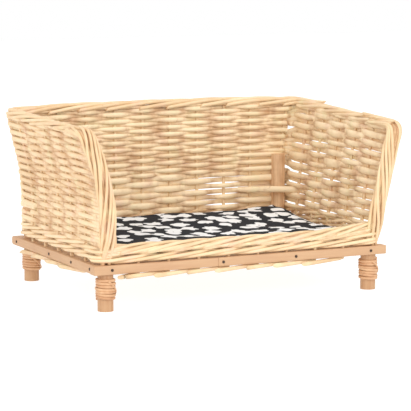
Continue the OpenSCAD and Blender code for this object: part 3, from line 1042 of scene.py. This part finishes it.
def edge_path(side, n):
    """Middle of a side wall's front edge, from its foot up to the tip and back along the rim, with the
    directions across it and into it, and the distance walked"""
    b = BASKET
    top = b.tip_z - 2.0 * MM + (-RIGHT_DIP if side > 0 else LEFT_LIFT)
    rise = np.linspace(b.top_z + 1.0 * MM, top - EDGE_BEND, 60)
    line = [(float(b.lean(z)), float(b.edge_y(z) + 1.5 * MM), float(z)) for z in rise]
    last_y = line[-1][1]
    for a in np.linspace(0.15, math.pi / 2, 9):
        z = top - EDGE_BEND + EDGE_BEND * math.sin(a)
        line.append((float(b.lean(z)), last_y + EDGE_BEND * (1 - math.cos(a)), z))
    for y in np.linspace(line[-1][1] + 6 * MM, line[-1][1] + EDGE_TAIL, 16):
        z = float(b.rim_height(y, side * b.wall_x)) - 2.0 * MM
        line.append((float(b.lean(z)), y, z))
    line = np.array(line)
    below = b.tip_z - line[:, 2]
    line[:, 0] -= EDGE_FOOT_IN * np.clip(below / (b.tip_z - b.top_z), 0.0, 1.0) ** 1.1
    line[:, 0] -= EDGE_IN[side] * np.clip(below / (40 * MM), 0.0, 1.0)
    line[:, 1] -= 2.0 * MM
    line[:, 1] += EDGE_FOOT_BACK * np.clip((b.front_rim + 10 * MM - line[:, 2]) / (30 * MM), 0.0, 1.0)
    run = run_along(line)
    s = np.linspace(0.0, run[-1], n)
    path = read_off(s, run, line)
    ahead = np.gradient(path, axis=0)
    ahead /= np.linalg.norm(ahead, axis=1, keepdims=True)
    across = np.array([1.0, 0.0, 0.0])
    out = across - ahead * (ahead @ across)[:, None]
    out /= np.linalg.norm(out, axis=1, keepdims=True)
    mirror = np.array([side, 1.0, 1.0])
    return path * mirror, out * mirror, np.cross(out, ahead) * mirror, s


def build_edges():
    """Rods twisted round each other up the front edges, round a core darkened with painted shade"""
    look = bpy.context.scene.pet_bed_willow
    for side, name, seed in ((-1, "edge_border_left", 41), (1, "edge_border_right", 43)):
        rng = np.random.default_rng(seed)
        rods = Rods(10)
        n = 130
        path, out, deep, s = edge_path(side, n)
        for k in range(EDGE_RODS):
            turn = 2 * math.pi * (k / EDGE_RODS + s / EDGE_TWIST)
            turn = turn + rng.uniform(-0.25, 0.25) + wander(n, 0.4, 3, rng)
            wide = EDGE_WIDE * (1 + wander(n, 0.12, 4, rng))
            points = path + out * (wide * np.cos(turn))[:, None] + deep * (EDGE_DEEP * np.sin(turn))[:, None]
            stop = n - int(rng.uniform(0, 34))
            size = look.rim_rod / 2 * np.linspace(0.98, 0.78, n) * rng.uniform(0.88, 1.10)
            tone = np.clip(rng.uniform(0.5, 1.1) + wander(n, 0.25, 4, rng), 0.0, 1.0)
            rods.add(points[:stop], size[:stop], None, tone[:stop], 0.1, None, (0.0, 1.2))
        # Painted shade: the core rods get a dark tone and a high dive shade value, darkening the inside of
        # the twist
        for across in (-5.0 * MM, 0.0, 5.0 * MM):
            rods.add((path + out * across)[:n - 20], look.rim_rod * 0.6, None, 0.9, 0.8, None)
        settle(rods.build(name + "_rods", "willow"), "willow", "basket", name)


def build_front_border():
    """The border of the low front wall, which climbs a little into the right wall"""
    look = bpy.context.scene.pet_bed_willow
    rng = np.random.default_rng(53)
    b = BASKET
    rods = Rods(8)
    n = 200
    reach = b.wall_x - 11 * MM
    x = np.linspace(-reach, reach, n)
    sweep = np.clip((x - CLIMB_FROM) / (reach - CLIMB_FROM), 0.0, 1.0)
    z = b.front_rim - 3.0 * MM + 8.0 * MM * sweep ** 1.3
    y = b.wall_front + 4.0 * MM * np.clip((np.abs(x) - TURN_FROM) / (20 * MM), 0.0, 1.0) ** 2
    path = np.stack([x, y, z], -1)
    normal = np.tile(np.array([0.0, -1.0, 0.0]), (n, 1))
    rope(rods, rng, path, normal, 12, 150 * MM, -1.0, 5.8 * MM, look.rim_rod, (0.45, 1.0))
    core(rods, rng, path, normal, ((-2.5, 3.5), (2.5, 3.5), (0.0, 0.0), (5.0, 6.5)), 9, 0.3, 0.5, 2)
    settle(rods.build("front_border", "willow"), "willow", "basket", "rim_front")


# Base

BASE_STICK = 6.8 * MM
BASE_ROWS = 44


def build_base():
    """Sticks let into the battens, and a mat woven over and under them"""
    rng = np.random.default_rng(61)
    b = BASKET
    low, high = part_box("base_sticks")
    sticks = Rods(8)
    xs = [-b.leg_x + (i + 0.5) * b.pitch for i in range(BACK_STAKES + 1)]
    for x in xs:
        path = np.stack([np.full(12, x), np.linspace(low.y, high.y, 12), np.full(12, b.mid_z)], -1)
        sticks.add(path, BASE_STICK / 2, None, rng.uniform(0.2, 0.7), 0.3, None)
    settle(sticks.build("base_stick_rods", "willow"), "willow", "basket", "base_sticks")
    mat_low, mat_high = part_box("base_weave")
    rods = Rods(6)
    marks = [mat_low.x] + xs + [mat_high.x]
    n = 78
    for k, y in enumerate(np.linspace(mat_low.y + 3.5 * MM, mat_high.y - 3.5 * MM, BASE_ROWS)):
        near_leg = min(abs(y - b.leg_y), abs(y - b.post_y)) < b.leg_r + 3 * MM
        reach = b.leg_x - b.leg_r - 2.5 * MM if near_leg else mat_high.x
        x = np.linspace(-reach, reach, n)
        sides = [0.0] + [weave_side(i, k) for i in range(len(xs))] + [0.0]
        z = b.mid_z + through(marks, sides, x) * BASE_STICK / 2 + wander(n, 0.2 * MM, 9, rng)
        path = np.stack([x, y + wander(n, 0.5 * MM, 8, rng), z], -1)
        tone = np.clip(rng.uniform(0.1, 0.6) + wander(n, 0.2, 7, rng), 0.0, 1.0)
        rods.add(path, 2.1 * MM * 1.3, 2.1 * MM, tone, 0.3)
    settle(rods.build("base_mat", "willow"), "willow", "basket", "base_weave")


# Battens, legs and cane

CORNERS = ("front_left", "front_right", "back_left", "back_right")
CANE_TURNS = 7


def clear_selection():
    for other in bpy.context.selected_objects:
        other.select_set(False)


def pick(piece):
    """Makes a piece the only one that tools act on"""
    clear_selection()
    piece.select_set(True)
    bpy.context.view_layer.objects.active = piece


def block(name, size, middle):
    """A box added at its place, with its size applied"""
    clear_selection()
    bpy.ops.mesh.primitive_cube_add(size=1.0)
    piece = bpy.context.active_object
    piece.name = name
    piece.scale = size
    piece.location = middle
    bpy.ops.object.transform_apply(location=True, rotation=True, scale=True)
    return piece


def apply_modifiers(piece):
    pick(piece)
    for modifier in list(piece.modifiers):
        bpy.ops.object.modifier_apply(modifier=modifier.name)


def round_edges(piece, chosen, width, segments):
    """Bevels the edges that a test picks out"""
    pick(piece)
    bpy.ops.object.mode_set(mode="EDIT")
    cut = bmesh.from_edit_mesh(piece.data)
    for part in list(cut.verts) + list(cut.edges) + list(cut.faces):
        part.select = False
    for edge in cut.edges:
        if chosen(edge.verts[0].co, edge.verts[1].co):
            edge.select = True
    bmesh.update_edit_mesh(piece.data)
    bpy.ops.mesh.select_mode(type="EDGE")
    bpy.ops.mesh.bevel(offset=width, segments=segments)
    bpy.ops.object.mode_set(mode="OBJECT")


def bend_batten(piece, axis, rng):
    """Gives a planed batten the small wander of hand-cut wood"""
    cut = bmesh.new()
    cut.from_mesh(piece.data)
    long_edges = [e for e in cut.edges if abs((e.verts[0].co - e.verts[1].co)[axis]) > 50 * MM]
    bmesh.ops.subdivide_edges(cut, edges=long_edges, cuts=14, use_grid_fill=True)
    start = min(v.co[axis] for v in cut.verts)
    size = max(v.co[axis] for v in cut.verts) - start
    drift = wander(64, 0.35 * MM, 7, rng)
    slope = wander(64, 0.3 * MM, 6, rng)
    middle = sum(v.co.z for v in cut.verts) / len(cut.verts)
    for v in cut.verts:
        where = (v.co[axis] - start) / size
        v.co.z += float(np.interp(where * 63, range(64), drift if v.co.z > middle else slope))
    cut.to_mesh(piece.data)
    cut.free()


def build_battens():
    look = bpy.context.scene.pet_bed_wood
    rng = np.random.default_rng(71)
    for name in ("batten_front_left", "batten_front_right", "batten_back", "batten_left", "batten_right"):
        low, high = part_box(name)
        piece = block(name + "_wood", high - low, (high + low) / 2)
        axis = 1 if name in ("batten_left", "batten_right") else 0
        if axis == 1:
            round_rear_end(piece, high)
        bend_batten(piece, axis, rng)
        bevel = piece.modifiers.new("worn edges", "BEVEL")
        bevel.width = look.edge
        bevel.segments = 3
        bevel.limit_method = "ANGLE"
        bevel.angle_limit = math.radians(40)
        apply_modifiers(piece)
        bpy.ops.object.shade_smooth_by_angle(angle=math.radians(35))
        piece.data.materials.append(material("batten_y" if axis else "batten_x"))
        settle(piece, "batten_wood", "basket", name)


def round_rear_end(piece, high):
    """The free rear end of a side batten is sawn with rounded corners"""
    def chosen(a, b):
        at_end = max(abs(a.y - high.y), abs(b.y - high.y)) < 0.01 * MM
        return at_end and abs(a.x - b.x) > 5.0 * MM
    round_edges(piece, chosen, 5.0 * MM, 5)


def refinish(node, finish):
    """Gives a piece of the frame, kept as it is, its finish"""
    node.data.materials.clear()
    node.data.materials.append(material(finish))


def build_legs():
    for corner in CORNERS:
        refinish(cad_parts["leg_" + corner], "pole")


def build_nails():
    for where in ("front", "back", "left", "right"):
        refinish(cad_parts["batten_nails_" + where], "nail")


def winding(centre, radius, angle, z):
    """Points round a leg"""
    return np.stack([centre[0] + radius * np.cos(angle), centre[1] + radius * np.sin(angle), z], -1)


def build_bindings():
    """One cane wound round each leg, with its end tucked slantwise over the turns"""
    b = BASKET
    for number, corner in enumerate(CORNERS):
        rng = np.random.default_rng(81 + number)
        low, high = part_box("binding_" + corner)
        centre = ((low.x + high.x) / 2, (low.y + high.y) / 2)
        rods = Rods(8)
        n = CANE_TURNS * 20
        angle = np.linspace(0.0, CANE_TURNS * 2 * math.pi, n) + rng.uniform(0, 6)
        z = np.linspace(high.z - 1.8 * MM, low.z + 1.8 * MM, n) + wander(n, 0.9 * MM, CANE_TURNS * 2, rng)
        radius = b.leg_r + 1.5 * MM + wander(n, 0.6 * MM, CANE_TURNS * 3, rng)
        tone = np.clip(0.4 + wander(n, 0.5, CANE_TURNS * 2, rng), 0.0, 1.0)
        rods.add(winding(centre, radius, angle, z), 1.75 * MM, 2.15 * MM, tone, 0.2)
        t = np.linspace(0.0, 1.0, 22)
        angle = rng.uniform(-2.6, -1.6) + 1.9 * t
        z = high.z - 3 * MM - (high.z - low.z - 8 * MM) * t
        rods.add(winding(centre, b.leg_r + 3.4 * MM, angle, z), 1.0 * MM, 1.5 * MM, 0.15, 0.1)
        settle(rods.build("binding_" + corner + "_cane", "cane"), "cane", "basket", "binding_" + corner)


# Cushion


# How much thicker the pad is at the back, and how high its rear right corner is turned up
REAR_LOFT = 10.0 * MM
FOLD = 14.0 * MM

# How far the filling may push a point of the pad
PUFF_CAP = 6.0 * MM


def build_cushion():
    look = bpy.context.scene.pet_bed_cushion
    low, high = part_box("cushion_cover")
    wide, deep, tall = high - low
    x, y, z = (low + high) / 2
    piece = block("cushion", (wide - 2 * look.inset, deep - 2 * look.inset, tall * 0.55), (x, y, z - 1 * MM))
    round_plan(piece)
    puff(piece)
    finish_cushion(piece, low, high)
    piece.data.materials.clear()
    piece.data.materials.append(material("cotton"))
    settle(piece, "cushion_cotton", "cushion", "cushion_cover", "cushion_filling")


def round_plan(piece):
    """Rounds the pad's corners in plan and gives it an even mesh"""
    round_edges(piece, lambda a, b: abs(a.z - b.z) > 5.0 * MM, 24 * MM, 6)
    remesh = piece.modifiers.new("even mesh", "REMESH")
    remesh.mode = "VOXEL"
    remesh.voxel_size = 5.5 * MM
    apply_modifiers(piece)


def puff(piece):
    """Fills the pad with a short cloth simulation and caps how far each point has moved"""
    before = np.array([v.co for v in piece.data.vertices])
    cloth = piece.modifiers.new("filling", "CLOTH")
    cloth.settings.use_pressure = True
    cloth.settings.uniform_pressure_force = 4.0
    cloth.settings.effector_weights.gravity = 0.0
    cloth.settings.tension_stiffness = 12.0
    cloth.settings.compression_stiffness = 12.0
    cloth.settings.bending_stiffness = 0.6
    for number in range(1, 21):
        bpy.context.scene.frame_set(number)
    apply_modifiers(piece)
    move = np.array([v.co for v in piece.data.vertices]) - before
    size = np.linalg.norm(move, axis=1, keepdims=True)
    after = before + move * np.minimum(1.0, PUFF_CAP / np.maximum(size, 1e-9))
    piece.data.vertices.foreach_set("co", after.astype(np.float32).ravel())
    bpy.context.scene.frame_set(1)


def finish_cushion(piece, low, high):
    """Fits the pad into its space, lays soft waves on its top, and raises its back and one corner"""
    co = np.array([v.co for v in piece.data.vertices])
    middle = np.array((low + high) / 2)
    half = np.array((high - low) / 2)
    rel = (co - middle) / half
    wave = (np.sin(rel[:, 0] * 7.0 + rel[:, 1] * 2.0) + np.sin(rel[:, 1] * 6.0 - rel[:, 0] * 3.0 + 1.0)
            + 0.6 * np.sin(rel[:, 0] * 15.0 + rel[:, 1] * 11.0))
    upper = np.clip(rel[:, 2], 0.0, 1.0)
    co[:, 2] += 0.8 * MM * wave * upper
    scale = (half[2] * 0.97) / max(np.abs(co[:, 2] - middle[2]).max(), 1e-6)
    co[:, 2] = middle[2] + (co[:, 2] - middle[2]) * min(scale, 2.0)
    co[:, 2] = np.clip(co[:, 2], low.z + 0.1 * MM, high.z)
    for axis in (0, 1):
        co[:, axis] = np.clip(co[:, axis], low[axis] + 0.3 * MM, high[axis] - 0.3 * MM)
    rear = ease(np.clip((rel[:, 1] + 0.4) / 1.3, 0.0, 1.0))
    raised = np.clip((co[:, 2] - low.z) / (high.z - low.z), 0.0, 1.0)
    co[:, 2] += REAR_LOFT * rear * raised
    fold = np.hypot(co[:, 0] - (high.x - 23 * MM), co[:, 1] - (high.y - 14 * MM)) / (9 * MM)
    co[:, 2] += FOLD * np.exp(-fold ** 2) * raised
    piece.data.vertices.foreach_set("co", co.astype(np.float32).ravel())
    piece.data.update()
    soft = piece.modifiers.new("smooth cloth", "SUBSURF")
    soft.levels = 1
    soft.render_levels = 1
    apply_modifiers(piece)
    bpy.ops.object.shade_smooth()


# Stage

# Each light's share of the key light's power, and its place in metres
LIGHTS = (("key", 1.0, (0.35, -2.5, 1.7)), ("fill", 0.64, (-2.2, -0.9, 1.5)))
LIGHT_SIZE = 1.8
LIT_POINT = (0.0, 0.0, 0.12)

# What the camera looks at, its turn about the basket, its angle above the level, and its distance
SEEN_POINT = (0.017, 0.007, 0.1156)
AZIMUTH = math.radians(-25.77)
HEIGHT = math.radians(7.44)
AWAY = 3.0


def build_stage():
    look = bpy.context.scene.pet_bed_stage
    scene = bpy.context.scene
    clear_selection()
    bpy.ops.mesh.primitive_plane_add(size=14.0, location=(0.0, 0.0, 0.0))
    floor = bpy.context.active_object
    floor.name = "floor"
    recipe = Recipe("floor")
    recipe.surface.inputs["Specular IOR Level"].default_value = 0.1
    recipe.surface.inputs["Emission Color"].default_value = (1.0, 1.0, 1.0, 1.0)
    recipe.surface.inputs["Emission Strength"].default_value = look.glow
    floor.data.materials.append(recipe.finish(rgba(look.floor), 0.9))
    world = bpy.data.worlds.new("room")
    world.use_nodes = True
    world.node_tree.nodes["Background"].inputs["Color"].default_value = (1.0, 1.0, 1.0, 1.0)
    world.node_tree.nodes["Background"].inputs["Strength"].default_value = look.sky
    scene.world = world
    for name, share, place in LIGHTS:
        light = bpy.data.lights.new(name, "AREA")
        light.energy = look.key * share
        light.size = LIGHT_SIZE
        lamp = bpy.data.objects.new(name, light)
        lamp.location = place
        lamp.rotation_euler = aim(place, LIT_POINT)
        scene.collection.objects.link(lamp)
    camera = bpy.data.cameras.new("camera")
    camera.lens = look.lens
    camera.sensor_width = 36.0
    camera.clip_end = 50.0
    viewer = bpy.data.objects.new("camera", camera)
    place = (SEEN_POINT[0] + AWAY * math.cos(HEIGHT) * math.sin(AZIMUTH),
             SEEN_POINT[1] - AWAY * math.cos(HEIGHT) * math.cos(AZIMUTH),
             SEEN_POINT[2] + AWAY * math.sin(HEIGHT))
    viewer.location = place
    viewer.rotation_euler = aim(place, SEEN_POINT)
    scene.collection.objects.link(viewer)
    scene.camera = viewer
    scene.view_settings.view_transform = "Standard"
    scene.view_settings.look = "None"


def aim(place, target):
    """Euler turn that points a camera or a lamp at a target"""
    dx, dy, dz = (target[i] - place[i] for i in range(3))
    return (math.atan2(math.hypot(dx, dy), -dz), 0.0, math.atan2(-dx, dy))


# Operators


class PETBED_OT_stage(bpy.types.Operator):
    """Add the floor, the lights and the camera"""

    bl_idname = "petbed.stage"
    bl_label = "Stage"

    def execute(self, context):
        build_stage()
        return {"FINISHED"}


class PETBED_OT_rows(bpy.types.Operator):
    """Weave the rows of the three walls"""

    bl_idname = "petbed.rows"
    bl_label = "Woven rows"

    def execute(self, context):
        build_rows()
        return {"FINISHED"}


class PETBED_OT_wales(bpy.types.Operator):
    """Weave the wales round the foot of the walls"""

    bl_idname = "petbed.wales"
    bl_label = "Foot wales"

    def execute(self, context):
        build_wales()
        return {"FINISHED"}


class PETBED_OT_stakes(bpy.types.Operator):
    """Set the stakes and turn their tails"""

    bl_idname = "petbed.stakes"
    bl_label = "Stakes"

    def execute(self, context):
        build_stakes()
        return {"FINISHED"}


class PETBED_OT_rims(bpy.types.Operator):
    """Lay the rim of the three walls"""

    bl_idname = "petbed.rims"
    bl_label = "Rims"

    def execute(self, context):
        build_rims()
        return {"FINISHED"}


class PETBED_OT_edges(bpy.types.Operator):
    """Twist the borders up the front edges of the side walls"""

    bl_idname = "petbed.edges"
    bl_label = "Edge borders"

    def execute(self, context):
        build_edges()
        return {"FINISHED"}


class PETBED_OT_front_border(bpy.types.Operator):
    """Lay the border of the low front wall"""

    bl_idname = "petbed.front_border"
    bl_label = "Front border"

    def execute(self, context):
        build_front_border()
        return {"FINISHED"}


class PETBED_OT_base(bpy.types.Operator):
    """Weave the base over its sticks"""

    bl_idname = "petbed.base"
    bl_label = "Base"

    def execute(self, context):
        build_base()
        return {"FINISHED"}


class PETBED_OT_battens(bpy.types.Operator):
    """Cut the battens of the frame"""

    bl_idname = "petbed.battens"
    bl_label = "Battens"

    def execute(self, context):
        build_battens()
        return {"FINISHED"}


class PETBED_OT_legs(bpy.types.Operator):
    """Finish the legs"""

    bl_idname = "petbed.legs"
    bl_label = "Legs"

    def execute(self, context):
        build_legs()
        return {"FINISHED"}


class PETBED_OT_nails(bpy.types.Operator):
    """Finish the nails"""

    bl_idname = "petbed.nails"
    bl_label = "Nails"

    def execute(self, context):
        build_nails()
        return {"FINISHED"}


class PETBED_OT_bindings(bpy.types.Operator):
    """Wind cane round the legs"""

    bl_idname = "petbed.bindings"
    bl_label = "Cane bindings"

    def execute(self, context):
        build_bindings()
        return {"FINISHED"}


class PETBED_OT_cushion(bpy.types.Operator):
    """Fill the cushion"""

    bl_idname = "petbed.cushion"
    bl_label = "Cushion"

    def execute(self, context):
        build_cushion()
        return {"FINISHED"}


OPERATORS = (PETBED_OT_stage, PETBED_OT_battens, PETBED_OT_nails, PETBED_OT_legs, PETBED_OT_bindings,
             PETBED_OT_base, PETBED_OT_stakes, PETBED_OT_wales, PETBED_OT_rows, PETBED_OT_front_border,
             PETBED_OT_edges, PETBED_OT_rims, PETBED_OT_cushion)


class PETBED_PT_panel(bpy.types.Panel):
    """Lists the sizes, the colours and the steps"""

    bl_label = "Pet bed"
    bl_idname = "PETBED_PT_panel"
    bl_space_type = "VIEW_3D"
    bl_region_type = "UI"
    bl_category = "Pet bed"

    def draw(self, context):
        for group in SETTINGS:
            box = self.layout.box()
            settings = getattr(context.scene, group)
            for key in settings.__annotations__:
                box.prop(settings, key)
        for step in OPERATORS:
            self.layout.operator(step.bl_idname)


SETTINGS = {
    "pet_bed_willow": WillowSettings,
    "pet_bed_wood": WoodSettings,
    "pet_bed_cushion": CushionSettings,
    "pet_bed_stage": StageSettings,
}


def register():
    for name, group in SETTINGS.items():
        bpy.utils.register_class(group)
        setattr(bpy.types.Scene, name, PointerProperty(type=group))
    for step in OPERATORS:
        bpy.utils.register_class(step)
    bpy.utils.register_class(PETBED_PT_panel)


def unregister():
    bpy.utils.unregister_class(PETBED_PT_panel)
    for step in reversed(OPERATORS):
        bpy.utils.unregister_class(step)
    for name, group in SETTINGS.items():
        delattr(bpy.types.Scene, name)
        bpy.utils.unregister_class(group)


def main():
    random.seed(3)
    register()
    for step in OPERATORS:
        family, action = step.bl_idname.split(".")
        getattr(getattr(bpy.ops, family), action)()


if __name__ == "__main__":
    main()
